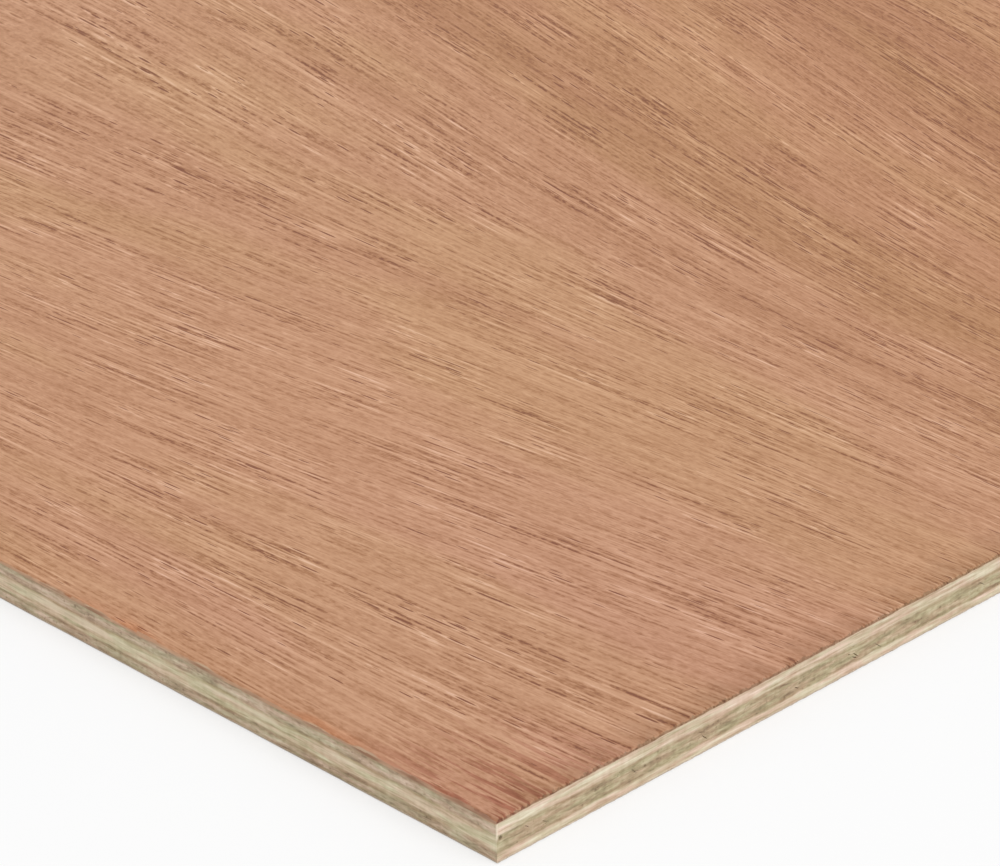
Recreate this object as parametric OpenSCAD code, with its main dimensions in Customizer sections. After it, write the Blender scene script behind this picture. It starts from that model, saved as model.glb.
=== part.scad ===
// Plywood sheet: five plies glued face to face, each with its grain turned a quarter from the next.
// The sheet lies on its back. The origin is the middle of the back, +X runs along the grain of the face.

/* [Sheet] */
// Length of the sheet, along the grain of its face
sheet_length = 1220; // [300:10:2440]
// Width of the sheet, across the grain of its face
sheet_width = 610; // [200:10:1220]

/* [Plies] */
// Thickness of the face veneer, sliced thin from the better wood
face_veneer_thickness = 0.5; // [0.3:0.05:1.2]
// Thickness of the ply under the face veneer
upper_crossband_thickness = 1.5; // [0.8:0.1:3]
// Thickness of the middle ply
core_ply_thickness = 2.1; // [0.8:0.1:4]
// Thickness of the ply over the back veneer
lower_crossband_thickness = 1.1; // [0.8:0.1:3]
// Thickness of the back veneer
back_veneer_thickness = 0.3; // [0.3:0.05:1.2]

/* [Edges] */
// Flat sanded on the sharp edge of the face, measured along the face
face_arris = 0.15; // [0.05:0.05:0.25]
// Flat sanded on the sharp edge of the back, measured along the back
back_arris = 0.1; // [0.05:0.05:0.25]

/* [Hidden] */

// Height of each ply's lower face above the floor
lower_crossband_z = back_veneer_thickness;
core_ply_z = lower_crossband_z + lower_crossband_thickness;
upper_crossband_z = core_ply_z + core_ply_thickness;
face_veneer_z = upper_crossband_z + upper_crossband_thickness;

// Section of a veneer: a thin strip standing on y = 0, with its two upper corners sanded off at 45 degrees
module sanded_section(span, thickness, arris) {
    polygon([
        [-span / 2, 0],
        [span / 2, 0],
        [span / 2, thickness - arris],
        [span / 2 - arris, thickness],
        [-span / 2 + arris, thickness],
        [-span / 2, thickness - arris]
    ]);
}

// Outer veneer lying on z = 0, sanded all round its upper face:
// what the section along the sheet and the section across it have in common
module outer_veneer(thickness, arris) {
    intersection() {
        rotate([90, 0, 0])
            linear_extrude(sheet_width, center = true)
                sanded_section(sheet_length, thickness, arris);
        rotate([90, 0, 90])
            linear_extrude(sheet_length, center = true)
                sanded_section(sheet_width, thickness, arris);
    }
}

// Inner ply lying on z = 0, sawn square on all four sides
module inner_ply(thickness) {
    linear_extrude(thickness)
        square([sheet_length, sheet_width], center = true);
}

// Decorative veneer, with its sanded face upwards
module face_veneer() {
    color("#c19375")
        translate([0, 0, face_veneer_z])
            outer_veneer(face_veneer_thickness, face_arris);
}

// Ply across the sheet, under the face veneer
module upper_crossband() {
    color("#d2bb9d")
        translate([0, 0, upper_crossband_z])
            inner_ply(upper_crossband_thickness);
}

// Middle ply, along the sheet
module core_ply() {
    color("#b39f80")
        translate([0, 0, core_ply_z])
            inner_ply(core_ply_thickness);
}

// Ply across the sheet, over the back veneer
module lower_crossband() {
    color("#cfb998")
        translate([0, 0, lower_crossband_z])
            inner_ply(lower_crossband_thickness);
}

// Veneer of the back, with its sanded face down on the floor
module back_veneer() {
    color("#b98f6f")
        translate([0, 0, back_veneer_thickness])
            mirror([0, 0, 1])
                outer_veneer(back_veneer_thickness, back_arris);
}

face_veneer();
upper_crossband();
core_ply();
lower_crossband();
back_veneer();
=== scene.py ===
# %% [markdown]
# # A sheet of hardwood plywood
# The sheet is five plies glued face to face: a thin pinkish brown face veneer, two pale crossbands with a
# core between them, and a plainer back veneer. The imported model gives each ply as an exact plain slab. In
# this lesson the slabs stay as a fixed frame, and each gets a skin with the sawn sides and the grain of
# the real wood.

# %% Load the fixed frame
import math
import bmesh
import bpy
import numpy as np
from mathutils import Matrix, Vector


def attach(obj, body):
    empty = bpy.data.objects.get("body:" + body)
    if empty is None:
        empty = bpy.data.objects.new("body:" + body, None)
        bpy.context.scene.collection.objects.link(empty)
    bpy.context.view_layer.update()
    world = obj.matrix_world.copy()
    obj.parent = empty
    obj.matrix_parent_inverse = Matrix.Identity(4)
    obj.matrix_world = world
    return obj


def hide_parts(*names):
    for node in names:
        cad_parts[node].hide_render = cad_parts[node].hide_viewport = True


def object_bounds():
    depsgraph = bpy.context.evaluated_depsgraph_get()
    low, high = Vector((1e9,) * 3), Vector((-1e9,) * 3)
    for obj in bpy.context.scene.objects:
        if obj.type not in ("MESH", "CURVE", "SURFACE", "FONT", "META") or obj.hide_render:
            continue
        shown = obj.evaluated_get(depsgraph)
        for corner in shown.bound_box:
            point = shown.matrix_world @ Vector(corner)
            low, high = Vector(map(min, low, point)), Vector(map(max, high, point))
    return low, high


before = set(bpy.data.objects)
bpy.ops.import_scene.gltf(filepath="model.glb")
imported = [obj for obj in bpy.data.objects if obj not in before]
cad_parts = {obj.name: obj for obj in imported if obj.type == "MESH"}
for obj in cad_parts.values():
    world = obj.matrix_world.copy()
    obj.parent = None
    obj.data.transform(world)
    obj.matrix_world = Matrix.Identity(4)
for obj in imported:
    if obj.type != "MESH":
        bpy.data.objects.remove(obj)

cad_low, cad_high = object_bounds()
length, width, thickness = cad_high - cad_low
print(f"sheet {length * 1000:.0f} x {width * 1000:.0f} x {thickness * 1000:.1f} mm")

# %% [markdown]
# ## Camera
# The picture looks down on one corner of the sheet through a long lens. Two edges leave that corner, one
# to the left and one to the right, and both run out of the frame. A camera could be placed by eye, but it
# is surer to write down the direction of the view, the distance and the lens, and to slide the camera
# until the corner falls on its pixel.

# %% Camera on the corner
VIEW_AZIMUTH, VIEW_ELEVATION, VIEW_ROLL = map(math.radians, (45.84, 27.03, -0.83))
VIEW_DISTANCE = 0.503
SENSOR_WIDTH, LENS = 36.0, 168.6
IMAGE_SIZE = Vector((1000, 866))
CORNER_PIXEL = Vector((497.2, 864.7))

corner = Vector((cad_high.x, cad_low.y, cad_low.z))
back = Vector((
    math.sin(VIEW_AZIMUTH) * math.cos(VIEW_ELEVATION),
    -math.cos(VIEW_AZIMUTH) * math.cos(VIEW_ELEVATION),
    math.sin(VIEW_ELEVATION)))
turn = Matrix.Rotation(VIEW_ROLL, 3, back) @ back.to_track_quat("Z", "Y").to_matrix()
right, up = turn.col[0], turn.col[1]
metres_per_pixel = VIEW_DISTANCE * SENSOR_WIDTH / LENS / IMAGE_SIZE.x
offset = (CORNER_PIXEL - IMAGE_SIZE / 2) * metres_per_pixel
eye = corner + back * VIEW_DISTANCE - right * offset.x + up * offset.y

bpy.ops.object.camera_add()
camera = bpy.context.object
camera.name = "corner_camera"
camera.data.sensor_width, camera.data.lens = SENSOR_WIDTH, LENS
camera.matrix_world = Matrix.Translation(eye) @ turn.to_4x4()
bpy.context.scene.camera = camera
print("camera at", [round(value, 4) for value in eye])

# %% [markdown]
# ## Studio
# The sheet lies on a wide white floor under an even white sky, with one large soft lamp on the side of
# the short edge, so that this edge is a little brighter than the long one. The lamps are kept at a level
# at which a colour renders about as it is written. The floor glows a little for the camera alone, which
# makes it white without any more light on the wood, and it still takes the sheet's shadow.

# %% Helpers for nodes
def put(tree, kind, sockets=(), **settings):
    """Add a node, set its options, and fill its inputs with numbers or with other nodes' outputs."""
    made = tree.nodes.new(kind)
    for option, value in settings.items():
        setattr(made, option, value)
    for place, value in dict(sockets).items():
        if isinstance(value, bpy.types.NodeSocket):
            tree.links.new(value, made.inputs[place])
        else:
            made.inputs[place].default_value = value
    return made


def maths(tree, operation, *values):
    """The result of one Math node."""
    return put(tree, "ShaderNodeMath", enumerate(values), operation=operation).outputs[0]


def shown_rays(tree):
    """1 for rays that show the surface itself, in the picture, in a reflection or through glass."""
    path = put(tree, "ShaderNodeLightPath").outputs
    seen = maths(tree, "MAXIMUM", path["Is Camera Ray"], path["Is Glossy Ray"])
    return maths(tree, "MAXIMUM", seen, path["Is Transmission Ray"])


print("node helpers ready")

# %% White floor and sky
FLOOR_SIZE, FLOOR_GAP = 60.0, 0.00005
FLOOR_WHITE, FLOOR_GLOW = 0.9, 0.6
SKY_LIGHT = 0.62
WHITE = (1, 1, 1, 1)

bpy.ops.object.select_all(action="DESELECT")
bpy.ops.mesh.primitive_plane_add(size=FLOOR_SIZE, location=(0, 0, cad_low.z - FLOOR_GAP))
floor = bpy.context.object
floor.name = "floor"
paint = bpy.data.materials.new("white_floor")
paint.use_nodes = True
tree = paint.node_tree
tree.nodes.clear()
matt = put(tree, "ShaderNodeBsdfDiffuse", {"Color": (FLOOR_WHITE, FLOOR_WHITE, FLOOR_WHITE, 1)}).outputs[0]
glow = put(tree, "ShaderNodeEmission", {"Color": WHITE, "Strength": 1.0}).outputs[0]
glow_share = maths(tree, "MULTIPLY", shown_rays(tree), FLOOR_GLOW)
mixed = put(tree, "ShaderNodeMixShader", {0: glow_share, 1: matt, 2: glow}).outputs[0]
put(tree, "ShaderNodeOutputMaterial", {"Surface": mixed})
floor.data.materials.append(paint)

world = bpy.data.worlds.new("white_sky")
world.use_nodes = True
bpy.context.scene.world = world
tree = world.node_tree
tree.nodes.clear()
light_sky = put(tree, "ShaderNodeBackground", {"Color": WHITE, "Strength": SKY_LIGHT}).outputs[0]
seen_sky = put(tree, "ShaderNodeBackground", {"Color": WHITE, "Strength": 1.0}).outputs[0]
mixed = put(tree, "ShaderNodeMixShader", {0: shown_rays(tree), 1: light_sky, 2: seen_sky}).outputs[0]
put(tree, "ShaderNodeOutputWorld", {"Surface": mixed})
bpy.context.scene.view_settings.view_transform = "Standard"
print("floor", FLOOR_SIZE, "m wide, sky light", SKY_LIGHT)

# %% Soft lamps
def soft_lamp(name, azimuth, elevation, distance, size, power):
    """A square lamp aimed at the photographed corner, placed by compass direction and height."""
    turn, lift = math.radians(azimuth), math.radians(elevation)
    towards = Vector((math.sin(turn) * math.cos(lift), -math.cos(turn) * math.cos(lift), math.sin(lift)))
    bpy.ops.object.light_add(type="AREA", location=corner + towards * distance)
    lamp = bpy.context.object
    lamp.name = name
    lamp.data.size, lamp.data.energy = size, power
    lamp.rotation_euler = towards.to_track_quat("Z", "Y").to_euler()
    lamp.visible_camera = False
    print(f"{name}: {power} W at {distance} m")


soft_lamp("key_lamp", azimuth=95, elevation=48, distance=3.0, size=2.2, power=42)
soft_lamp("fill_lamp", azimuth=15, elevation=60, distance=3.0, size=2.6, power=16)

# %% [markdown]
# ## Grain
# Wood is a solid bundle of fibres, so its pattern is made in space and not on the surface. The same
# pattern then gives long lines where a face runs along the fibres, and dots where a saw cut goes across
# them. All patterns are noise stretched along the grain, with sizes in millimetres. The fibres of a
# veneer also lean and fan out across the sheet, so the first group bends the space that the patterns lie
# in.

# %% Shader group: grain flow
MM_PER_METRE = 1000.0
FLOAT, VECTOR, COLOUR = "NodeSocketFloat", "NodeSocketVector", "NodeSocketColor"
TURN = 2 * math.pi


def new_group(name, inputs, outputs):
    """A shader node group with named sockets: (name, kind, value) for inputs, (name, kind) for outputs."""
    tree = bpy.data.node_groups.new(name, "ShaderNodeTree")
    for label, kind, value in inputs:
        tree.interface.new_socket(label, in_out="INPUT", socket_type=kind).default_value = value
    for label, kind in outputs:
        tree.interface.new_socket(label, in_out="OUTPUT", socket_type=kind)
    return tree, put(tree, "NodeGroupInput").outputs, put(tree, "NodeGroupOutput").inputs


def vector_maths(tree, operation, *values):
    """The result of one Vector Math node."""
    return put(tree, "ShaderNodeVectorMath", enumerate(values), operation=operation).outputs[0]


def distance_to(tree, vector, point):
    """How far a position lies from a fixed point."""
    return put(tree, "ShaderNodeVectorMath", {0: vector, 1: point}, operation="DISTANCE").outputs["Value"]


def millimetres(tree, vector):
    """A vector in metres, in millimetres."""
    return vector_maths(tree, "MULTIPLY", vector, (MM_PER_METRE, MM_PER_METRE, MM_PER_METRE))


def parts_of(tree, vector):
    """The X, Y and Z of a vector."""
    return put(tree, "ShaderNodeSeparateXYZ", {0: vector}).outputs


def stretched_noise(tree, vector, size, seed, detail=2.0, roughness=0.5):
    """Noise whose features measure size (along, across, deep) in millimetres. The seed moves it elsewhere."""
    scale = [1 / side for side in size]
    shift = (seed * 17.3, seed * 9.1, seed * 5.7)
    place = vector_maths(tree, "MULTIPLY_ADD", vector, scale, shift)
    sockets = {"Vector": place, "Scale": 1.0, "Detail": detail, "Roughness": roughness}
    return put(tree, "ShaderNodeTexNoise", sockets).outputs["Fac"]


def wave(tree, value, start, pitch):
    """Sine of a value that passes upwards through zero at start and repeats after pitch."""
    turns = maths(tree, "DIVIDE", maths(tree, "SUBTRACT", value, start), pitch)
    return maths(tree, "SINE", maths(tree, "MULTIPLY", turns, TURN))


def swing_of(tree, noise_value, gain):
    """Noise about 0 instead of about 0.5, times a gain."""
    return maths(tree, "MULTIPLY", maths(tree, "SUBTRACT", noise_value, 0.5), gain)


def step_between(tree, value, start, end, low=0.0, high=1.0):
    """A soft step from low to high while the value goes from start to end."""
    sockets = {"Value": value, "From Min": start, "From Max": end, "To Min": low, "To Max": high}
    return put(tree, "ShaderNodeMapRange", sockets, interpolation_type="SMOOTHSTEP").outputs[0]


flow_group, given, result = new_group(
    "grain_flow",
    [("Position", VECTOR, (0, 0, 0)), ("Corner", VECTOR, (0, 0, 0)), ("Slope", FLOAT, 0.12),
     ("Swing", FLOAT, 0.2), ("Pitch", FLOAT, 270.0), ("Start", FLOAT, 112.0), ("Run", FLOAT, 125.0),
     ("Middle", FLOAT, 95.0), ("Wander", FLOAT, 9.0)],
    [("Fibre", VECTOR)])
tree = flow_group
from_corner = vector_maths(tree, "SUBTRACT", given["Position"], given["Corner"])
in_mm = millimetres(tree, from_corner)
axis = parts_of(tree, in_mm)
past_middle = maths(tree, "SUBTRACT", maths(tree, "MULTIPLY", axis["X"], -1.0), given["Middle"])
turned = maths(tree, "TANH", maths(tree, "DIVIDE", past_middle, given["Run"]))
reach = maths(tree, "MULTIPLY", turned, given["Run"])
across_wave = wave(tree, axis["Y"], given["Start"], given["Pitch"])
slope = maths(tree, "MULTIPLY_ADD", across_wave, given["Swing"], given["Slope"])
drift = maths(tree, "MULTIPLY", slope, reach)
wander = swing_of(tree, stretched_noise(tree, in_mm, (160, 70, 70), seed=1, detail=0.0), given["Wander"])
across = maths(tree, "ADD", maths(tree, "SUBTRACT", axis["Y"], drift), wander)
fibre = put(tree, "ShaderNodeCombineXYZ", {0: axis["X"], 1: across, 2: axis["Z"]}).outputs[0]
tree.links.new(fibre, result["Fibre"])
print("group", flow_group.name, "with", len(flow_group.nodes), "nodes")

# %% Shader group: figure of the wood
figure_group, given, result = new_group(
    "wood_figure",
    [("Fibre", VECTOR, (0, 0, 0)), ("Band", FLOAT, 0.25), ("Streak", FLOAT, 0.3), ("Line", FLOAT, 0.3),
     ("Stroke", FLOAT, 0.3), ("Hair", FLOAT, 0.9), ("Fleck", FLOAT, 0.6)],
    [("Tone", FLOAT), ("Hue", FLOAT), ("Patch", FLOAT)])
tree = figure_group
fibre = given["Fibre"]
bands = swing_of(tree, stretched_noise(tree, fibre, (380, 24, 24), seed=2, detail=0.5), given["Band"])
streaks = swing_of(tree, stretched_noise(tree, fibre, (140, 4.0, 4.0), seed=3, detail=1.0), given["Streak"])
lines = swing_of(tree, stretched_noise(tree, fibre, (60, 0.95, 0.95), seed=4, roughness=0.6), given["Line"])
hairs = swing_of(tree, stretched_noise(tree, fibre, (14, 0.34, 0.34), seed=8, detail=1.0), given["Hair"])
fleck_noise = stretched_noise(tree, fibre, (1.3, 0.42, 0.42), seed=5, roughness=0.65)
flecks = swing_of(tree, fleck_noise, given["Fleck"])
broken = step_between(tree, fleck_noise, 0.6, 0.42, 0.55, 1.25)
vessels = stretched_noise(tree, fibre, (30, 0.52, 0.52), seed=11, detail=1.0)
dark_vessel = step_between(tree, vessels, 0.46, 0.33)
pale_vessel = step_between(tree, vessels, 0.57, 0.70)
vessel_tone = maths(tree, "SUBTRACT", maths(tree, "MULTIPLY", pale_vessel, 0.35), dark_vessel)
strokes = maths(tree, "MULTIPLY", vessel_tone, given["Stroke"])
patch = stretched_noise(tree, fibre, (18, 6, 6), seed=7, detail=0.5)
lively = step_between(tree, patch, 0.36, 0.64, 0.6, 1.55)
fine = maths(tree, "MULTIPLY", maths(tree, "ADD", hairs, strokes), maths(tree, "MULTIPLY", lively, broken))
broad = maths(tree, "ADD", maths(tree, "ADD", bands, streaks), lines)
tone = maths(tree, "ADD", maths(tree, "ADD", broad, fine), flecks)
hue = stretched_noise(tree, fibre, (70, 16, 16), seed=6, detail=1.0)
tree.links.new(tone, result["Tone"])
tree.links.new(hue, result["Hue"])
tree.links.new(lively, result["Patch"])
print("group", figure_group.name, "with", len(figure_group.nodes), "nodes")

# %% Shader group: open pores
pore_group, given, result = new_group(
    "open_pores",
    [("Fibre", VECTOR, (0, 0, 0)), ("Length", FLOAT, 9.0), ("Spacing", FLOAT, 1.0), ("Size", FLOAT, 0.3),
     ("Share", FLOAT, 0.6), ("Seed", FLOAT, 0.0)],
    [("Depth", FLOAT), ("Halo", FLOAT)])
tree = pore_group
cell_size = {0: given["Length"], 1: given["Spacing"], 2: given["Spacing"]}
cell = put(tree, "ShaderNodeCombineXYZ", cell_size).outputs[0]
place = vector_maths(tree, "ADD", vector_maths(tree, "DIVIDE", given["Fibre"], cell), given["Seed"])
cells = put(tree, "ShaderNodeTexVoronoi", {"Vector": place, "Scale": 1.0, "Randomness": 1.0})
lot = put(tree, "ShaderNodeSeparateColor", {0: cells.outputs["Color"]}).outputs
radius = maths(tree, "MULTIPLY", given["Size"], maths(tree, "MULTIPLY_ADD", lot["Green"], 0.7, 0.5))
core = step_between(tree, cells.outputs["Distance"], radius, maths(tree, "MULTIPLY", radius, 0.6))
drawn = maths(tree, "LESS_THAN", lot["Red"], given["Share"])
pore = maths(tree, "MULTIPLY", core, drawn)
depth = maths(tree, "MULTIPLY", pore, maths(tree, "MULTIPLY_ADD", lot["Blue"], 0.6, 0.4))
rim_start, rim_end = maths(tree, "MULTIPLY", radius, 1.9), maths(tree, "MULTIPLY", radius, 1.3)
rim = step_between(tree, cells.outputs["Distance"], rim_start, rim_end)
halo = maths(tree, "MULTIPLY", maths(tree, "SUBTRACT", rim, core), drawn)
tree.links.new(depth, result["Depth"])
tree.links.new(halo, result["Halo"])
print("group", pore_group.name, "with", len(pore_group.nodes), "nodes")

# %% [markdown]
# ## Sides of the sheet
# Several finishes depend on where a point lies: the rim of the face is redder and darker from handling,
# the saw shows end grain on two sides and side grain on the others, and a painted highlight runs down
# the corners. One group measures the distance to the sides in millimetres, and tells from the surface's
# direction which side a point is on.

# %% Shader group: place on the sheet
place_group, given, result = new_group(
    "place_on_sheet",
    [("Position", VECTOR, (0, 0, 0)), ("Normal", VECTOR, (0, 0, 1))],
    [("To Long", FLOAT), ("To Short", FLOAT), ("On Long", FLOAT), ("On Short", FLOAT),
     ("From Corner", FLOAT)])
tree = place_group
spot = parts_of(tree, given["Position"])
facing = parts_of(tree, given["Normal"])
for label, axis_name, half in (("Long", "Y", width / 2), ("Short", "X", length / 2)):
    inside = maths(tree, "SUBTRACT", half, maths(tree, "ABSOLUTE", spot[axis_name]))
    tree.links.new(maths(tree, "MULTIPLY", inside, MM_PER_METRE), result["To " + label])
    turned_out = step_between(tree, maths(tree, "ABSOLUTE", facing[axis_name]), 0.6, 0.8)
    tree.links.new(turned_out, result["On " + label])
away = distance_to(tree, given["Position"], corner)
tree.links.new(maths(tree, "MULTIPLY", away, MM_PER_METRE), result["From Corner"])
print("group", place_group.name, "with", len(place_group.nodes), "nodes")

# %% [markdown]
# ## Sawn sides
# The saw leaves no ply quite flat: end grain breaks out in small pits, side grain tears in long shallow
# strips, and the teeth leave upright marks. Each ply starts as a cube of its own size. Its top and bottom
# come off, its four sides are cut into narrow columns, finest where the picture is closest, and into
# rows, and then the sides are pushed inwards by stretched cloud textures. Nothing goes outwards, so the
# sheet keeps its size.

# %% Helpers for modelling
LEVEL = 1e-6
MOST_CUTS = 99
PITCH_SLACK, SAME_LENGTH = 1.01, 0.9


def pick(kind, test):
    """In edit mode, select exactly the verts, edges or faces that pass a test, and return how many."""
    bpy.ops.mesh.select_mode(type={"verts": "VERT", "edges": "EDGE", "faces": "FACE"}[kind])
    bpy.ops.mesh.select_all(action="DESELECT")
    mesh = bpy.context.edit_object.data
    chosen = [part for part in getattr(bmesh.from_edit_mesh(mesh), kind) if test(part)]
    for part in chosen:
        part.select_set(True)
    bmesh.update_edit_mesh(mesh)
    return len(chosen)


def is_level(edge):
    """True for an edge that runs round the sheet, False for an upright one."""
    return abs(edge.verts[0].co.z - edge.verts[1].co.z) < LEVEL


def split_columns(pitch, test):
    """Subdivide the level edges that pass a test, the longest first, until none is longer than the pitch."""
    while True:
        edges = bmesh.from_edit_mesh(bpy.context.edit_object.data).edges
        longest = max(edge.calc_length() for edge in edges if is_level(edge) and test(edge))
        if longest < pitch * PITCH_SLACK:
            return
        least = longest * SAME_LENGTH
        pick("edges", lambda edge: is_level(edge) and test(edge) and edge.calc_length() > least)
        bpy.ops.mesh.subdivide(number_cuts=min(MOST_CUTS, math.ceil(longest / pitch) - 1))


def only(piece):
    """Make a piece the one that is selected and active."""
    bpy.ops.object.select_all(action="DESELECT")
    bpy.context.view_layer.objects.active = piece
    piece.select_set(True)


print("modelling helpers ready")

# %% Sides cut into columns and rows
NEAR_REACH = 0.110
NEAR_PITCH, FAR_PITCH = 0.0002, 0.0006
CORNER_WEAR = 0.00012


def near_corner(edge):
    """True for an edge that lies wholly on the two photographed stretches of the sides."""
    return all((vert.co.xy - corner.xy).length < NEAR_REACH + LEVEL for vert in edge.verts)


def sawn_sides(name, low, high, rows):
    """The four sides of a ply as an open ring of small faces."""
    bpy.ops.object.select_all(action="DESELECT")
    size = (length, width, high - low)
    bpy.ops.mesh.primitive_cube_add(size=1, location=(0, 0, (low + high) / 2), scale=size)
    piece = bpy.context.object
    piece.name = name
    bpy.ops.object.transform_apply(location=True, rotation=True, scale=True)
    bpy.ops.object.mode_set(mode="EDIT")
    pick("faces", lambda face: abs(face.normal.z) > 0.5)
    bpy.ops.mesh.delete(type="ONLY_FACE")
    pick("edges", lambda edge: not is_level(edge))
    bpy.ops.mesh.bevel(offset=CORNER_WEAR, segments=2, affect="EDGES")
    for direction in (Vector((1, 0, 0)), Vector((0, -1, 0))):
        bpy.ops.mesh.select_all(action="SELECT")
        bpy.ops.mesh.bisect(plane_co=corner - direction * NEAR_REACH, plane_no=direction)
    split_columns(NEAR_PITCH, near_corner)
    split_columns(FAR_PITCH, lambda edge: not near_corner(edge))
    if rows > 1:
        pick("edges", lambda edge: not is_level(edge))
        bpy.ops.mesh.subdivide(number_cuts=rows - 1)
    bpy.ops.object.mode_set(mode="OBJECT")
    return piece


print(f"columns of {NEAR_PITCH * MM_PER_METRE} mm near the corner, {FAR_PITCH * MM_PER_METRE} mm elsewhere")

# %% Relief pressed into the sides
def clouds(name, contrast=1.0, depth=2):
    """A procedural cloud texture with features about one unit wide."""
    texture = bpy.data.textures.new(name, "CLOUDS")
    texture.noise_scale, texture.noise_depth, texture.contrast = 1.0, depth, contrast
    texture.use_clamp = True
    return texture


def press_in(piece, texture, stretch, depth, weight_at=None):
    """Push the sides level inwards by a texture stretched to millimetres along x, y and z."""
    only(piece)
    sink = piece.modifiers.new("pressed", "DISPLACE")
    if weight_at:
        group = piece.vertex_groups.new(name="share")
        for vertex in piece.data.vertices:
            group.add([vertex.index], weight_at(vertex.co.z), "REPLACE")
        sink.vertex_group = group.name
    ruler = bpy.data.objects.new("ruler", None)
    bpy.context.collection.objects.link(ruler)
    ruler.scale = [side / MM_PER_METRE for side in stretch]
    bpy.context.view_layer.update()
    sink.texture, sink.texture_coords, sink.texture_coords_object = texture, "OBJECT", ruler
    sink.mid_level, sink.strength = 1.0, depth / MM_PER_METRE
    levels = [vertex.co.z for vertex in piece.data.vertices]
    bpy.ops.object.modifier_apply(modifier=sink.name)
    for vertex, level in zip(piece.data.vertices, levels):
        vertex.co.z = level
    bpy.data.objects.remove(ruler)
    piece.vertex_groups.clear()


SAW_MARK = (0.8, 0.8, 25.0)
ALONG_X, ALONG_Y = (14.0, 0.5, 0.5), (0.5, 14.0, 0.5)
FIBRE_DEPTH, VENEER_DEPTH, SAW_DEPTH = 0.09, 0.05, 0.03
fibre_clouds = clouds("fibre_clouds", contrast=1.6)
saw_clouds = clouds("saw_clouds", contrast=1.3, depth=1)
chip_clouds = clouds("chip_clouds", contrast=2.6)
print("textures", fibre_clouds.name, saw_clouds.name, chip_clouds.name)

# %% Closing a ply
SMOOTH_BELOW = math.radians(40)
# Inset of each loop that is drawn in, and the spacing of the points that stay on it
RINGS = [(0.003, 0.006), (0.05, 0.08)]


def way_round(point):
    """How far round the sheet a point near its sides lies, from the near corner along the long side."""
    gaps = [point.y + width / 2, point.x + length / 2, width / 2 - point.y, length / 2 - point.x]
    runs = [length / 2 - point.x, point.y + width / 2, point.x + length / 2, width / 2 - point.y]
    starts = [0, length, length + width, 2 * length + width]
    side = gaps.index(min(gaps))
    return starts[side] + runs[side]


def outer_place(edge):
    """How far round the sheet the outer end of an edge lies."""
    return way_round(max((vert.co for vert in edge.verts), key=lambda point: point.length))


def is_open_at(level):
    """A test for the edges of an open loop at one level."""
    return lambda edge: edge.is_boundary and all(abs(vert.co.z - level) < LEVEL for vert in edge.verts)


def draw_in(level, inset, spacing):
    """Extrude the open loop at one level inwards, and keep about one of its new points in each spacing."""
    pick("edges", is_open_at(level))
    bpy.ops.mesh.extrude_edges_move()
    drawn_in = (1 - 2 * inset / length, 1 - 2 * inset / width, 1)
    bpy.ops.transform.resize(value=drawn_in, center_override=(0, 0, level))
    shape = bmesh.from_edit_mesh(bpy.context.edit_object.data)
    drawn = [edge for edge in shape.edges if any(vert.select for vert in edge.verts)]
    spokes = sorted((edge for edge in drawn if not edge.is_boundary), key=outer_place)
    kept = set()
    last = -spacing
    for spoke in spokes:
        place = outer_place(spoke)
        if place - last >= spacing:
            kept.add(spoke.index)
            last = place
    dropped = {spoke.index for spoke in spokes} - kept
    pick("edges", lambda edge: edge.index in dropped)
    bpy.ops.mesh.dissolve_edges(use_verts=True)


def close_ply(piece):
    """Fill the open top and bottom of a ring of sides, and turn all faces outwards."""
    only(piece)
    bpy.ops.object.mode_set(mode="EDIT")
    levels = [vert.co.z for vert in bmesh.from_edit_mesh(piece.data).verts]
    for level in (min(levels), max(levels)):
        for inset, spacing in RINGS:
            draw_in(level, inset, spacing)
        pick("edges", is_open_at(level))
        bpy.ops.mesh.edge_face_add()
    bpy.ops.mesh.select_all(action="SELECT")
    bpy.ops.mesh.normals_make_consistent(inside=False)
    bpy.ops.object.mode_set(mode="OBJECT")


def finish_ply(piece, node):
    """Smooth the small steps, keep the sharp edges, and hand the piece to the frame."""
    only(piece)
    bpy.ops.object.shade_smooth_by_angle(angle=SMOOTH_BELOW)
    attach(piece, "root")
    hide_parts(node)
    piece.data.calc_loop_triangles()
    print(f"{piece.name}: {len(piece.data.loop_triangles)} triangles")


def heights(name):
    """Lower and upper height of a ply in the frame."""
    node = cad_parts[name]
    levels = [(node.matrix_world @ Vector(point)).z for point in node.bound_box]
    return min(levels), max(levels)


print("face veneer from", [round(level * MM_PER_METRE, 2) for level in heights("face_veneer")], "mm")

# %% [markdown]
# ## Fissures
# Inner veneers are peeled from a turning log, and the knife leaves short slanting cracks that show where
# the saw crosses the grain. One crack is modelled as a wedge: a cube whose inner end is pinched. Copies
# of it with seeded sizes, slants and places are joined into one cutter, which a Boolean modifier takes
# out of the ply.

# %% One wedge and its copies
PINCH, TIP_LENGTH, END_WIDTH = 0.15, 0.6, 0.35
PROUD = 0.25
CRACK_RISE, CRACK_SLANT, SIDE_SHARE = (0.2, 0.8), (8, 50), 0.998


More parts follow.
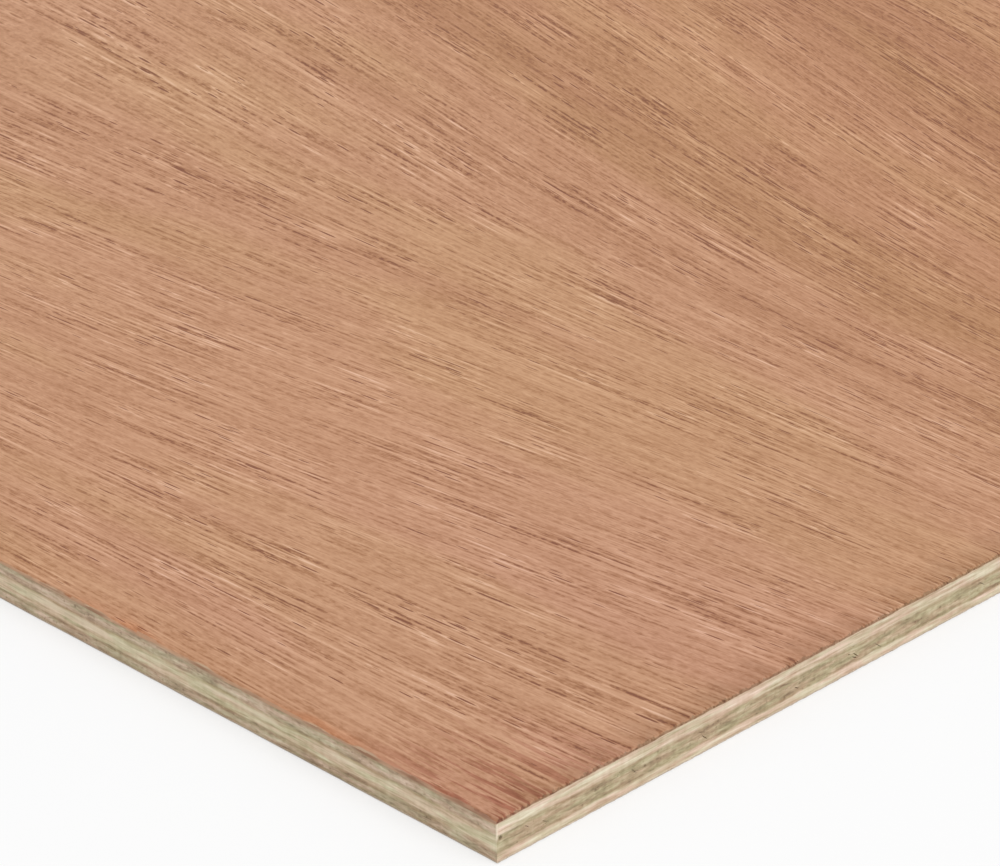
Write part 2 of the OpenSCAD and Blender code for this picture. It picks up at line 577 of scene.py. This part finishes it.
def crack_wedge():
    """A wedge of unit size: long in x, thin in y, sinking along -z to a pinched edge."""
    bpy.ops.object.select_all(action="DESELECT")
    bpy.ops.mesh.primitive_cube_add(size=1, location=(0, 0, PROUD - 0.5))
    wedge = bpy.context.object
    bpy.ops.object.transform_apply(location=True, rotation=True, scale=True)
    bpy.ops.object.mode_set(mode="EDIT")
    pick("faces", lambda face: face.normal.z < -0.5)
    bpy.ops.transform.resize(value=(TIP_LENGTH, PINCH, 1))
    pick("edges", lambda edge: abs(edge.verts[0].co.x - edge.verts[1].co.x) > 0.4)
    bpy.ops.mesh.subdivide(number_cuts=2)
    pick("verts", lambda vert: abs(vert.co.x) > 0.25)
    bpy.ops.transform.resize(value=(1, END_WIDTH, 1))
    bpy.ops.object.mode_set(mode="OBJECT")
    return wedge


def wall_frame(side):
    """Axes of a side of the sheet (along it, up, outwards), its middle at floor level and its half length."""
    outward = {"short": Vector((1, 0, 0)), "long": Vector((0, -1, 0))}[side[0]] * side[1]
    upward = Vector((0, 0, 1))
    along = upward.cross(outward)
    middle = Vector((outward.x * length / 2, outward.y * width / 2, 0))
    half = width / 2 if side[0] == "short" else length / 2
    return along, upward, outward, middle, half


def cut_cracks(piece, sides, low, high, pitch, sizes, seed):
    """Cut seeded cracks, one about every pitch metres, into the given sides of a ply."""
    chance = np.random.default_rng(seed)
    wedge = crack_wedge()
    copies = []
    for side in sides:
        along, upward, outward, middle, half = wall_frame(side)
        axes = Matrix((along, upward, outward)).transposed().to_4x4()
        for _ in range(int(2 * half / pitch)):
            run, thin, deep = (chance.uniform(*pair) / MM_PER_METRE for pair in sizes)
            rise = chance.uniform(*CRACK_RISE)
            sideways = along * chance.uniform(-half, half) * SIDE_SHARE
            place = middle + sideways + upward * (low + (high - low) * rise)
            slant = math.radians(chance.choice((-1, 1)) * chance.uniform(*CRACK_SLANT))
            twin = bpy.data.objects.new("crack", wedge.data.copy())
            bpy.context.collection.objects.link(twin)
            twin.matrix_world = (Matrix.Translation(place) @ axes @ Matrix.Rotation(slant, 4, "Z")
                                 @ Matrix.Diagonal((run, thin, deep, 1)))
            copies.append(twin)
    bpy.data.objects.remove(wedge)
    take_out(piece, copies)
    print(f"{piece.name}: {len(copies)} cracks")


def take_out(piece, cutters):
    """Join the cutters into one and cut it out of a piece."""
    only(cutters[0])
    if len(cutters) > 1:
        for cutter in cutters:
            cutter.select_set(True)
        bpy.ops.object.join()
    cutter = bpy.context.object
    only(piece)
    cut = piece.modifiers.new("cut", "BOOLEAN")
    cut.operation, cut.solver, cut.object = "DIFFERENCE", "MANIFOLD", cutter
    bpy.ops.object.modifier_apply(modifier=cut.name)
    bpy.data.objects.remove(cutter)


print("crack tools ready")

# %% [markdown]
# ## Core
# The core is the thickest ply, with its fibres along the sheet. On the short sides the saw cut across
# them, which leaves pits and slanting cracks, and close to the photographed corner a bit of wood fell out
# altogether.

# %% Core ply
CORE_ROWS = 9
CORE_CRACK_PITCH, CORE_CRACK_SIZES = 0.0028, [(0.5, 1.8), (0.08, 0.2), (0.5, 1.0)]
VOID_PLACE = (0.0, 0.0006, 0.00312)
VOID_SIZE = (0.0014, 0.00022, 0.0002)

low, high = heights("core_ply")
core = sawn_sides("sawn_core", low, high, CORE_ROWS)
press_in(core, fibre_clouds, ALONG_X, FIBRE_DEPTH)
press_in(core, saw_clouds, SAW_MARK, SAW_DEPTH)
close_ply(core)
short_sides, long_sides = [("short", 1), ("short", -1)], [("long", 1), ("long", -1)]
cut_cracks(core, short_sides, low, high, CORE_CRACK_PITCH, CORE_CRACK_SIZES, seed=21)
bpy.ops.object.select_all(action="DESELECT")
void_middle = corner + Vector(VOID_PLACE)
bpy.ops.mesh.primitive_ico_sphere_add(subdivisions=2, radius=1, location=void_middle, scale=VOID_SIZE)
take_out(core, [bpy.context.object])
finish_ply(core, "core_ply")

# %% [markdown]
# ## Crossbands
# The plies above and below the core have their fibres across the sheet, so here the long sides show the
# end grain. They are made in the same way, with the stretched textures turned by a quarter.

# %% Upper and lower crossband
BAND_CRACK_PITCH, BAND_CRACK_SIZES = 0.0045, [(0.3, 1.0), (0.05, 0.12), (0.3, 0.6)]
crossbands = []
for name, rows, seed in (("upper_crossband", 6, 22), ("lower_crossband", 5, 23)):
    low, high = heights(name)
    ply = sawn_sides("sawn_" + name, low, high, rows)
    press_in(ply, fibre_clouds, ALONG_Y, FIBRE_DEPTH)
    press_in(ply, saw_clouds, SAW_MARK, SAW_DEPTH)
    close_ply(ply)
    cut_cracks(ply, long_sides, low, high, BAND_CRACK_PITCH, BAND_CRACK_SIZES, seed)
    finish_ply(ply, name)
    crossbands.append(ply)

# %% [markdown]
# ## Face and back veneer
# The outer veneers are thinner than a coin. Their sharp outer edge is lightly sanded, and the saw has
# chipped it: in long splinters on the long sides, in small teeth on the short ones. The outer loop of
# each ring is drawn in to make the sanded flat, and the chips are pressed in most at that loop and hardly
# at the glue line.

# %% Face veneer and back veneer
FACE_ARRIS, BACK_ARRIS = 0.00015, 0.0001
VENEER_ROWS = 3
CHIP = (6.0, 0.7, 0.7)


def sanded_veneer(name, node, outer_is_top, arris, chip_depth):
    """A thin outer ply with a sanded and chipped outer edge."""
    low, high = heights(node)
    outer, inner = (high, low) if outer_is_top else (low, high)
    piece = sawn_sides(name, low, high, VENEER_ROWS)
    press_in(piece, fibre_clouds, ALONG_X, VENEER_DEPTH)
    press_in(piece, chip_clouds, CHIP, chip_depth, lambda z: ((z - inner) / (outer - inner)) ** 2)
    only(piece)
    bpy.ops.object.mode_set(mode="EDIT")
    pick("verts", lambda vert: abs(vert.co.z - outer) < LEVEL)
    drawn_in = (1 - 2 * arris / length, 1 - 2 * arris / width, 1)
    bpy.ops.transform.resize(value=drawn_in, center_override=(0, 0, outer))
    bpy.ops.object.mode_set(mode="OBJECT")
    close_ply(piece)
    finish_ply(piece, node)
    return piece


face = sanded_veneer(
    "sanded_face_veneer", "face_veneer", True, FACE_ARRIS, chip_depth=0.3)
back_ply = sanded_veneer(
    "sanded_back_veneer", "back_veneer", False, BACK_ARRIS, chip_depth=0.15)

# %% [markdown]
# ## Face wood
# The face is a pinkish brown hardwood, sanded and bare. Its colour comes from one number, the tone, which
# runs from dark pores to pale fibres. Broad leaves of the veneer lie across the sheet, each with its own
# tone. On top come streaks, thin vessel lines in patches, flecks and open pores, and pinkish and ochre
# patches that don't follow the tone. The rim along the sides is a little redder and darker.

# %% Colour helpers
def srgb(red, green, blue):
    """A colour as it is read off a screen, 0 to 255, made linear for a shader."""
    def linear(part):
        part /= 255
        return part / 12.92 if part <= 0.04045 else ((part + 0.055) / 1.055) ** 2.4
    return linear(red), linear(green), linear(blue), 1.0


def colour_ramp(tree, factor, stops):
    """A Color Ramp with the given (place, colour) stops."""
    ramp = put(tree, "ShaderNodeValToRGB", {0: factor})
    steps = ramp.color_ramp.elements
    while len(steps) < len(stops):
        steps.new(0.5)
    for step, (place, colour) in zip(steps, stops):
        step.position, step.color = place, colour
    return ramp.outputs["Color"]


def mixed_colour(tree, factor, first, second, blend="MIX"):
    """The result of one Mix node for colours."""
    sockets = {0: factor, 6: first, 7: second}
    return put(tree, "ShaderNodeMix", sockets, data_type="RGBA", blend_type=blend).outputs[2]


def tinted(tree, mask, colour, tint):
    """A colour, multiplied by a tint where the mask is 1."""
    return mixed_colour(tree, mask, colour, tint, "MULTIPLY")


def use_group(tree, group, **sockets):
    """Place a node group, with its inputs named by their labels."""
    return put(tree, "ShaderNodeGroup", sockets, node_tree=group).outputs


def new_wood(name):
    """An empty material, its node tree, and the position and direction of the surface."""
    wood = bpy.data.materials.new(name)
    wood.use_nodes = True
    wood.node_tree.nodes.clear()
    coordinates = put(wood.node_tree, "ShaderNodeTexCoord").outputs
    return wood, wood.node_tree, coordinates["Object"], coordinates["Normal"]


def dry_wood(tree, colour, height, strength, distance, roughness):
    """A bare wood surface: the colour, and a bump from the height of the grain."""
    bump = put(tree, "ShaderNodeBump", {"Height": height, "Strength": strength, "Distance": distance})
    surface = put(tree, "ShaderNodeBsdfPrincipled", {
        "Base Color": colour, "Roughness": roughness, "Specular IOR Level": 0.3, "Normal": bump.outputs[0]})
    put(tree, "ShaderNodeOutputMaterial", {"Surface": surface.outputs[0]})


print("colour helpers ready")

# %% Shader group: ragged seam
seam_group, given, result = new_group(
    "ragged_seam",
    [("Position", VECTOR, (0, 0, 0)), ("Level", FLOAT, 5.0), ("Rise", FLOAT, 0.5), ("Soft", FLOAT, 0.08)],
    [("Above", FLOAT)])
tree = seam_group
in_mm = millimetres(tree, given["Position"])
elsewhere = vector_maths(tree, "ADD", in_mm, maths(tree, "MULTIPLY", given["Level"], 60.0))
tatters = stretched_noise(tree, elsewhere, (6.0, 4.0, 90.0), seed=13, roughness=0.7)
ragged = swing_of(tree, tatters, given["Rise"])
above = maths(tree, "SUBTRACT", maths(tree, "SUBTRACT", parts_of(tree, in_mm)["Z"], given["Level"]), ragged)
below_soft = maths(tree, "MULTIPLY", given["Soft"], -1.0)
tree.links.new(step_between(tree, above, below_soft, given["Soft"]), result["Above"])
print("group", seam_group.name, "with", len(seam_group.nodes), "nodes")

# %% Face wood
LEAF_TONES = [
    (0, 0.55), (60, 0.57), (85, 0.56), (88, 0.47), (92, 0.55), (114, 0.54), (117, 0.43), (120, 0.54),
    (129, 0.52), (136, 0.38), (145, 0.4), (153, 0.46), (172, 0.46), (188, 0.37), (205, 0.46), (245, 0.53),
    (300, 0.55), (322, 0.42), (346, 0.55), (420, 0.5), (446, 0.4), (470, 0.53), (540, 0.56), (610, 0.5)]
PORE_SHADE, HALO_LIGHT = -0.46, 0.14
# Distances in millimetres between which an effect begins and is full
CORNER_REACH, FAR_REACH = (110.0, 25.0), (100.0, 170.0)
RED_TINT, OCHRE_TINT = srgb(255, 251, 245), srgb(255, 255, 242)
CORNER_TINT, FAR_TINT = srgb(251, 248, 255), srgb(255, 252, 248)
VENEER_SIDE, TORN_TINT = srgb(186, 150, 121), srgb(206, 190, 180)
CROSSBAND_SIDE, CROSSBAND_END = srgb(212, 190, 164), srgb(184, 164, 138)
FACE_SEAM = heights("face_veneer")[0] * MM_PER_METRE

face_wood, tree, position, normal = new_wood("sanded_face_wood")
fibre = use_group(tree, flow_group, Position=position, Corner=corner)["Fibre"]
spot = use_group(tree, place_group, Position=position, Normal=normal)
figure = use_group(
    tree, figure_group, Fibre=fibre, Band=0.18, Streak=0.19, Line=0.21, Stroke=0.17, Hair=0.88, Fleck=0.7)
small = use_group(tree, pore_group, Fibre=fibre, Length=7.0, Spacing=0.56, Size=0.26, Share=0.6, Seed=0.0)
large = use_group(tree, pore_group, Fibre=fibre, Length=24.0, Spacing=1.0, Size=0.17, Share=0.65, Seed=31.0)
pores = maths(tree, "MAXIMUM", small["Depth"], large["Depth"])
halo = maths(tree, "MAXIMUM", small["Halo"], large["Halo"])
wobble = swing_of(tree, stretched_noise(tree, fibre, (90, 9, 9), seed=9, detail=0.5), 5.0)
across = maths(tree, "ADD", parts_of(tree, fibre)["Y"], wobble)
width_mm = width * MM_PER_METRE
leaf_stops = [(place / width_mm, (tone, tone, tone, 1)) for place, tone in LEAF_TONES]
leaf_colour = colour_ramp(tree, maths(tree, "DIVIDE", across, width_mm), leaf_stops)
leaf = put(tree, "ShaderNodeSeparateColor", {0: leaf_colour}).outputs[0]
pore_tone = maths(tree, "MULTIPLY_ADD", pores, PORE_SHADE, maths(tree, "MULTIPLY", halo, HALO_LIGHT))
grain = maths(tree, "MULTIPLY_ADD", pore_tone, figure["Patch"], figure["Tone"])
tone = maths(tree, "ADD", grain, leaf)
brown = colour_ramp(tree, tone, [
    (0.0, srgb(130, 80, 56)), (0.3, srgb(166, 118, 85)), (0.55, srgb(188, 141, 110)),
    (0.8, srgb(207, 162, 132)), (1.0, srgb(224, 184, 159))])
tint = mixed_colour(tree, step_between(tree, figure["Hue"], 0.4, 0.6), RED_TINT, OCHRE_TINT)
colour = tinted(tree, 1.0, brown, tint)
colour = tinted(tree, step_between(tree, spot["From Corner"], *CORNER_REACH), colour, CORNER_TINT)
colour = tinted(tree, step_between(tree, across, *FAR_REACH), colour, FAR_TINT)
print("grain of", face_wood.name, "with", len(tree.nodes), "nodes")

# %% Rim and sawn sides of the face wood
LONG_RIM, SHORT_RIM, WORN_EDGE, HEAT_REACH = (0.9, -0.8), (5.5, -1.0), (0.25, -0.15), (30.0, 3.0)
LONG_RIM_TINT, SHORT_RIM_TINT = srgb(254, 231, 212), srgb(229, 227, 223)
HEAT_TINT, END_TINT = srgb(214, 180, 172), srgb(216, 224, 222)
SHORT_SEAM_LIFT = 0.085

rim_noise = swing_of(tree, stretched_noise(tree, fibre, (11, 3, 3), seed=14, detail=1.0), 7.0)
to_long = maths(tree, "ADD", spot["To Long"], rim_noise)
to_short = maths(tree, "ADD", spot["To Short"], rim_noise)
long_rim = step_between(tree, to_long, *LONG_RIM, 0.0, 0.7)
short_rim = step_between(tree, to_short, *SHORT_RIM)
colour = tinted(tree, long_rim, colour, LONG_RIM_TINT)
colour = tinted(tree, short_rim, colour, SHORT_RIM_TINT)
splinters = swing_of(tree, stretched_noise(tree, fibre, (6, 1.2, 1.2), seed=25), 2.4)
worn = step_between(tree, maths(tree, "ADD", spot["To Long"], splinters), *WORN_EDGE, 0.0, 0.7)
colour = mixed_colour(tree, worn, colour, CROSSBAND_END)
heat_lines = step_between(tree, stretched_noise(tree, fibre, (9, 0.45, 0.45), seed=22, detail=1.0), 0.5, 0.6)
heat = maths(tree, "MULTIPLY", step_between(tree, spot["From Corner"], *HEAT_REACH), heat_lines)
colour = tinted(tree, heat, colour, HEAT_TINT)
end_grain = tinted(tree, 1.0, colour, END_TINT)
short_level = maths(tree, "MULTIPLY_ADD", spot["On Short"], SHORT_SEAM_LIFT, FACE_SEAM)
smear_rise = maths(tree, "MULTIPLY_ADD", spot["On Long"], 0.7, 0.4)
veneer = use_group(tree, seam_group, Position=position, Level=short_level, Rise=smear_rise)["Above"]
cut = mixed_colour(tree, veneer, CROSSBAND_SIDE, end_grain)
colour = mixed_colour(tree, spot["On Short"], colour, cut)
torn = mixed_colour(tree, veneer, CROSSBAND_END, VENEER_SIDE)
torn = mixed_colour(tree, 0.35, torn, colour)
torn = tinted(tree, step_between(tree, splinters, 0.15, -0.45), torn, TORN_TINT)
colour = mixed_colour(tree, spot["On Long"], colour, torn)
dry_wood(tree, colour, maths(tree, "MULTIPLY", pores, -1.0), strength=0.35, distance=0.0001, roughness=0.62)
face.data.materials.append(face_wood)
print("material", face_wood.name, "with", len(tree.nodes), "nodes")

# %% [markdown]
# ## Crossband and core wood
# The inner plies are pale, quick-grown wood. Across the fibres the cut surface is dull, pitted and grey,
# along them it is lighter and drawn in fine lines. Both come from the same solid pattern, and the
# surface's direction picks the darker or the lighter colours. The saw drags a little of each ply over the
# next, so the seams are ragged and both materials hold both woods. The wood is stained by glue near a
# seam.

# %% Shader group: glue stain
glue_heights = sorted(heights(name)[0] * MM_PER_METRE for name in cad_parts)[1:]
glue_group, given, result = new_group("glue_stain", [("Position", VECTOR, (0, 0, 0))], [("Stain", FLOAT)])
tree = glue_group
in_mm = millimetres(tree, given["Position"])
waver = swing_of(tree, stretched_noise(tree, in_mm, (3, 3, 40), seed=15), 0.3)
level = maths(tree, "ADD", parts_of(tree, in_mm)["Z"], waver)
gap = maths(tree, "ABSOLUTE", maths(tree, "SUBTRACT", level, glue_heights[0]))
for glue in glue_heights[1:]:
    gap = maths(tree, "MINIMUM", gap, maths(tree, "ABSOLUTE", maths(tree, "SUBTRACT", level, glue)))
soaked = step_between(tree, stretched_noise(tree, in_mm, (6, 6, 40), seed=16), 0.35, 0.65, 0.4, 1.0)
tree.links.new(maths(tree, "MULTIPLY", step_between(tree, gap, 0.5, 0.0), soaked), result["Stain"])
print("glue lines at", [round(glue, 2) for glue in glue_heights], "mm")

# %% Shader groups: grain of the inner plies
def inner_grain(name, crosswise, side_stops, end_stops):
    """A group for pale wood with fibres along or across the sheet, and its colours for side and end grain."""
    tree, given, result = new_group(
        name, [("Position", VECTOR, (0, 0, 0)), ("End", FLOAT, 0.0)], [("Color", COLOUR), ("Tone", FLOAT)])
    in_mm = millimetres(tree, given["Position"])
    axis = parts_of(tree, in_mm)
    first, second = ("Y", "X") if crosswise else ("X", "Y")
    fibre = put(tree, "ShaderNodeCombineXYZ", {0: axis[first], 1: axis[second], 2: axis["Z"]}).outputs[0]
    broad = swing_of(tree, stretched_noise(tree, fibre, (14, 5.0, 0.8), seed=27), 0.55)
    lines = swing_of(tree, stretched_noise(tree, fibre, (6.5, 2.8, 0.42), seed=18), 1.1)
    calm = maths(tree, "MULTIPLY_ADD", given["End"], -0.3, 0.9)
    hairs = swing_of(tree, stretched_noise(tree, fibre, (2.2, 0.9, 0.2), seed=19), calm)
    marks = swing_of(tree, stretched_noise(tree, in_mm, (0.6, 0.6, 3.0), seed=20), 0.3)
    pores = use_group(tree, pore_group, Fibre=fibre, Length=7.0, Spacing=0.9, Size=0.24, Share=0.5, Seed=7.0)
    shade = maths(tree, "MULTIPLY_ADD", given["End"], -0.1, -0.15)
    pore_shade = maths(tree, "MULTIPLY", pores["Depth"], shade)
    grain = maths(tree, "ADD", maths(tree, "ADD", broad, lines), maths(tree, "ADD", hairs, marks))
    tone = maths(tree, "ADD", maths(tree, "ADD", grain, pore_shade), 0.52)
    side, end = colour_ramp(tree, tone, side_stops), colour_ramp(tree, tone, end_stops)
    tree.links.new(mixed_colour(tree, given["End"], side, end), result["Color"])
    tree.links.new(tone, result["Tone"])
    print("group", name, "with", len(tree.nodes), "nodes")
    return tree


crossband_grain = inner_grain(
    "crossband_grain", True,
    [(0.05, srgb(172, 148, 120)), (0.5, srgb(211, 191, 168)), (0.95, srgb(238, 223, 206))],
    [(0.05, srgb(130, 112, 90)), (0.5, srgb(188, 169, 144)), (0.95, srgb(222, 206, 184))])
core_grain = inner_grain(
    "core_grain", False,
    [(0.05, srgb(160, 141, 110)), (0.5, srgb(204, 187, 158)), (0.95, srgb(236, 223, 199))],
    [(0.05, srgb(122, 104, 80)), (0.5, srgb(176, 158, 129)), (0.95, srgb(212, 197, 170))])

# %% Crossband wood and core wood
LOWER_SEAM, UPPER_SEAM = (level * MM_PER_METRE for level in heights("core_ply"))
# The pale corner colour is a painted highlight, and the dark colour for the hollow is painted shade.
PAINTED_CORNER_HIGHLIGHT, HEART, PAINTED_VOID_SHADE = srgb(236, 222, 198), srgb(228, 213, 186), srgb(92, 72, 50)
PINK_TINT, GREEN_TINT, GLUE_TINT = srgb(255, 245, 244), srgb(248, 255, 246), srgb(222, 214, 200)
SEAM_RISE, SEAM_SOFT, SEAM_LEAN, SEAM_LIFT = 0.8, 0.18, 0.14, 0.04
SMEAR_RISE, SMEAR_SOFT, SMEAR_DROP = 1.1, 0.15, 0.05
# Heights and distances in millimetres between which an effect begins and is full
HEART_FOOT, HEART_TOP, CORNER_HIGHLIGHT_FOOT, CORNER_HIGHLIGHT_REACH = (2.1, 2.9), (3.55, 3.15), (2.6, 3.4), (0.32, 0.1)
VOID_SHADE_REACH = (0.4, 0.1)


def inner_wood(name, plies):
    """The woods of the inner plies with ragged seams, glue stain, a painted corner highlight and hollow
    shade.
    """
    wood, tree, position, normal = new_wood(name)
    spot = use_group(tree, place_group, Position=position, Normal=normal)
    cross = use_group(tree, crossband_grain, Position=position, End=spot["On Long"])
    core_cut = use_group(tree, core_grain, Position=position, End=spot["On Short"])
    lean = maths(tree, "SUBTRACT", spot["On Long"], spot["On Short"])
    lower_level = maths(tree, "MULTIPLY_ADD", lean, SEAM_LEAN, LOWER_SEAM + SEAM_LIFT)
    ragged = {"Position": position, "Rise": SEAM_RISE, "Soft": SEAM_SOFT}
    over = use_group(tree, seam_group, Level=lower_level, **ragged)["Above"]
    under = use_group(tree, seam_group, Level=UPPER_SEAM, **ragged)["Above"]
    middle = maths(tree, "MULTIPLY", over, maths(tree, "SUBTRACT", 1.0, under))
    colour = mixed_colour(tree, middle, cross["Color"], core_cut["Color"])
    tone = maths(tree, "ADD", maths(tree, "MULTIPLY", core_cut["Tone"], middle), maths(
        tree, "MULTIPLY", cross["Tone"], maths(tree, "SUBTRACT", 1.0, middle)))
    in_mm = millimetres(tree, position)
    hue = stretched_noise(tree, in_mm, (4.5, 4.5, 0.8), seed=24, detail=3.0)
    tint = mixed_colour(tree, step_between(tree, hue, 0.36, 0.64), GREEN_TINT, PINK_TINT)
    colour = tinted(tree, 1.0, colour, tint)
    rise = parts_of(tree, in_mm)["Z"]
    heart_low = step_between(tree, rise, *HEART_FOOT)
    heart_high = step_between(tree, rise, *HEART_TOP, 0.0, 0.32)
    cloudy = stretched_noise(tree, in_mm, (8.0, 8.0, 1.2), seed=28)
    heart_share = maths(tree, "MULTIPLY", step_between(tree, cloudy, 0.35, 0.65, 0.1, 1.9), spot["On Long"])
    heart = maths(tree, "MULTIPLY", maths(tree, "MULTIPLY", heart_low, heart_high), heart_share)
    colour = mixed_colour(tree, heart, colour, HEART)
    soak = maths(tree, "MULTIPLY_ADD", spot["On Long"], 0.3, 0.6)
    stain = maths(tree, "MULTIPLY", use_group(tree, glue_group, Position=position)["Stain"], soak)
    colour = tinted(tree, stain, colour, GLUE_TINT)
    dragged = {"Position": position, "Rise": SMEAR_RISE, "Soft": SMEAR_SOFT}
    smear = use_group(tree, seam_group, Level=FACE_SEAM - SMEAR_DROP, **dragged)["Above"]
    colour = mixed_colour(tree, maths(tree, "MULTIPLY", smear, spot["On Long"]), colour, VENEER_SIDE)
    # Painted highlight: a pale line down each corner where two sawn sides meet, full from about 3.4 mm up.
    from_edge = maths(tree, "MAXIMUM", spot["To Long"], spot["To Short"])
    corner_highlight = step_between(tree, from_edge, *CORNER_HIGHLIGHT_REACH, 0.0, 0.75)
    corner_highlight = maths(tree, "MULTIPLY", corner_highlight, step_between(tree, rise, *CORNER_HIGHLIGHT_FOOT))
    colour = mixed_colour(tree, corner_highlight, colour, PAINTED_CORNER_HIGHLIGHT)
    # Painted shade: the wood darkens towards the middle of the hollow near the corner, for the shade inside
    # it.
    away = distance_to(tree, in_mm, void_middle * MM_PER_METRE)
    colour = mixed_colour(tree, step_between(tree, away, *VOID_SHADE_REACH, 0.0, 0.9), colour, PAINTED_VOID_SHADE)
    dry_wood(tree, colour, tone, strength=0.5, distance=0.0001, roughness=0.75)
    for ply in plies:
        ply.data.materials.clear()
        ply.data.materials.append(wood)
    print("material", name, "with", len(tree.nodes), "nodes on", len(plies), "pieces")


inner_wood("sawn_crossband_wood", crossbands)
inner_wood("sawn_core_wood", [core])

# %% [markdown]
# ## Back wood
# The back is a plainer, paler veneer of the same kind, with coarser and fewer pores and hardly any bands.
# It uses the same groups with calmer values, and another stretch of the grain.

# %% Back wood
BACK_CORNER = Vector((cad_low.x, cad_low.y - 0.9, 0))
BACK_RIM, BACK_PORE_SHADE = (0.6, 0.3), -0.22
# The grey tint after the pink is painted shadow for the long sawn sides.
BACK_PINK, BACK_SIDE_PAINTED_SHADE = srgb(255, 244, 238), srgb(228, 224, 220)

back_wood, tree, position, normal = new_wood("sanded_back_wood")
fibre = use_group(
    tree, flow_group, Position=position, Corner=BACK_CORNER, Slope=-0.03, Swing=0.05, Pitch=420.0)["Fibre"]
figure = use_group(
    tree, figure_group, Fibre=fibre, Band=0.4, Streak=0.35, Line=0.3, Stroke=0.12, Hair=0.6, Fleck=0.5)
pores = use_group(tree, pore_group, Fibre=fibre, Length=8.0, Spacing=0.9, Size=0.28, Share=0.4, Seed=53.0)
tone = maths(tree, "ADD", maths(tree, "MULTIPLY_ADD", pores["Depth"], BACK_PORE_SHADE, figure["Tone"]), 0.5)
tan = colour_ramp(tree, tone, [
    (0.0, srgb(150, 112, 84)), (0.5, srgb(201, 170, 142)), (1.0, srgb(226, 203, 178))])
colour = tinted(tree, step_between(tree, figure["Hue"], 0.4, 0.62), tan, BACK_PINK)
sawn = colour_ramp(tree, tone, [(0.1, srgb(168, 152, 134)), (0.9, srgb(222, 206, 186))])
spot = use_group(tree, place_group, Position=position, Normal=normal)
to_side = maths(tree, "MINIMUM", spot["To Long"], spot["To Short"])
# Painted shadow: the long sawn sides of the back veneer are darker, for the floor's shadow along them.
sawn_with_painted_shade = tinted(tree, spot["On Long"], sawn, BACK_SIDE_PAINTED_SHADE)
colour = mixed_colour(tree, step_between(tree, to_side, *BACK_RIM), colour, sawn_with_painted_shade)
dry_wood(tree, colour, tone, strength=0.35, distance=0.0002, roughness=0.68)
back_ply.data.materials.append(back_wood)
print("material", back_wood.name, "with", len(tree.nodes), "nodes")

# %% [markdown]
# ## Maps
# When the sheet goes to another program, its finishes are baked into pictures, and a map says which part
# of a picture each face gets. The sawn sides are strips a few millimetres high and several metres long,
# so an even map would leave them a hair's breadth. Here each strip is cut into rows that lie one above
# another, the face that is seen fills the rest, and the glued faces that nobody sees get two small
# stamps.

# %% Map of each piece
FLAT = 2e-6
MARGIN = 0.01
ROW_FILL = 0.8
STAMP = 0.01


def lay_out(piece, node, rows, strip_top, seen=None):
    """A map with the sides in rows below strip_top, and the seen face, top or bottom, above them."""
    mesh = piece.data
    low, high = heights(node)
    points = np.empty(3 * len(mesh.vertices))
    mesh.vertices.foreach_get("co", points)
    corner_points = np.empty(len(mesh.loops), dtype=np.int32)
    mesh.loops.foreach_get("vertex_index", corner_points)
    starts = np.empty(len(mesh.polygons), dtype=np.int32)
    mesh.polygons.foreach_get("loop_start", starts)
    spots = points.reshape(-1, 3)[corner_points]
    counts = np.diff(np.append(starts, len(spots)))
    owner = np.repeat(np.arange(len(starts)), counts)
    x, y, z = spots.T
    middle_x, middle_y = np.add.reduceat(x, starts) / counts, np.add.reduceat(y, starts) / counts
    gaps = [middle_y + width / 2, middle_x + length / 2, width / 2 - middle_y, length / 2 - middle_x]
    side = np.argmin(gaps, axis=0)[owner]
    runs = np.choose(side, [length / 2 - x, y + width / 2, x + length / 2, width / 2 - y])
    way = runs + np.array([0, length, length + width, 2 * length + width])[side]
    row_length = 2 * (length + width) / rows
    row = np.floor(np.add.reduceat(way, starts) / counts / row_length)[owner]
    u = MARGIN + (1 - 2 * MARGIN) * (way / row_length - row)
    v = strip_top / rows * (row + (1 - ROW_FILL) / 2 + ROW_FILL * (z - low) / (high - low))
    along, across = x / length + 0.5, y / width + 0.5
    is_bottom = np.maximum.reduceat(z, starts) < low + FLAT
    is_top = np.minimum.reduceat(z, starts) > high - FLAT
    for place, (name, level) in enumerate((("bottom", is_bottom), ("top", is_top))):
        flat = level[owner]
        if name == seen:
            u[flat] = MARGIN + (1 - 2 * MARGIN) * along[flat]
            v[flat] = strip_top + 2 * STAMP + (1 - strip_top - 3 * STAMP) * across[flat]
        else:
            u[flat] = 2 * STAMP * (2 + 5 * place + along[flat])
            v[flat] = strip_top + STAMP / 2 + STAMP * across[flat]
    while mesh.uv_layers:
        mesh.uv_layers.remove(mesh.uv_layers[0])
    mesh.uv_layers.new(name="OFBake").data.foreach_set("uv", np.stack([u, v], axis=1).ravel())
    print(piece.name, "mapped in", rows, "rows of", round(row_length * MM_PER_METRE), "mm")


SIDE_MAP_ROWS, VENEER_MAP_ROWS = 32, 6
SIDE_TOP, VENEER_TOP = 0.97, 0.1
lay_out(core, "core_ply", SIDE_MAP_ROWS, SIDE_TOP)
for ply, node in zip(crossbands, ("upper_crossband", "lower_crossband")):
    lay_out(ply, node, SIDE_MAP_ROWS, SIDE_TOP)
lay_out(face, "face_veneer", VENEER_MAP_ROWS, VENEER_TOP, seen="top")
lay_out(back_ply, "back_veneer", VENEER_MAP_ROWS, VENEER_TOP, seen="bottom")
